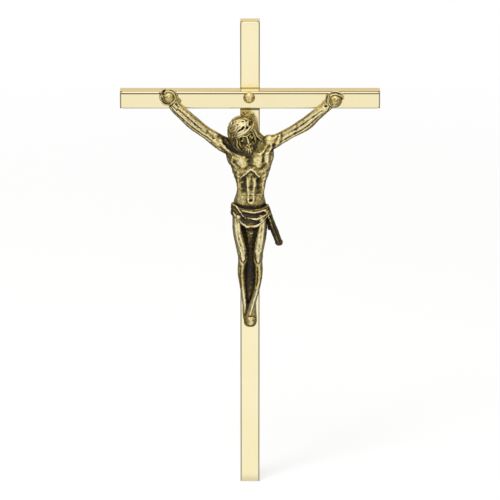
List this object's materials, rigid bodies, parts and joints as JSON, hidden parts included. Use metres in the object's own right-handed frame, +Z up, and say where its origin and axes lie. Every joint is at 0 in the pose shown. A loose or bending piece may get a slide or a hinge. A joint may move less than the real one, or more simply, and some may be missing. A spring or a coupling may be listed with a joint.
{
  "type": "wall crucifix",
  "caption": "Slim wall crucifix of folded brass channels with an antique cast figure held by round-headed rivets.",
  "frame": {"origin": "centre of the nail hole, on the plane of the wall that the back rests on", "axes": "+Z up along the upright, -Y out of the front towards the viewer, +Y into the wall, +X to the viewer's right"},
  "size_m": [0.1324, 0.0222, 0.254],
  "materials": {
    "polished_brass": "pale polished brass under clear lacquer",
    "antique_brass": "cast brass, blackened and rubbed bright on the high places",
    "rivet_brass": "hammered brass, lightly darkened"
  },
  "bodies": {
    "root": {"upright_bar": "polished_brass", "crossbar": "polished_brass", "hanging_strap": "polished_brass", "corpus": "antique_brass", "centre_rivet": "rivet_brass", "left_hand_rivet": "rivet_brass", "right_hand_rivet": "rivet_brass", "foot_rivet": "rivet_brass"}
  },
  "joints": []
}
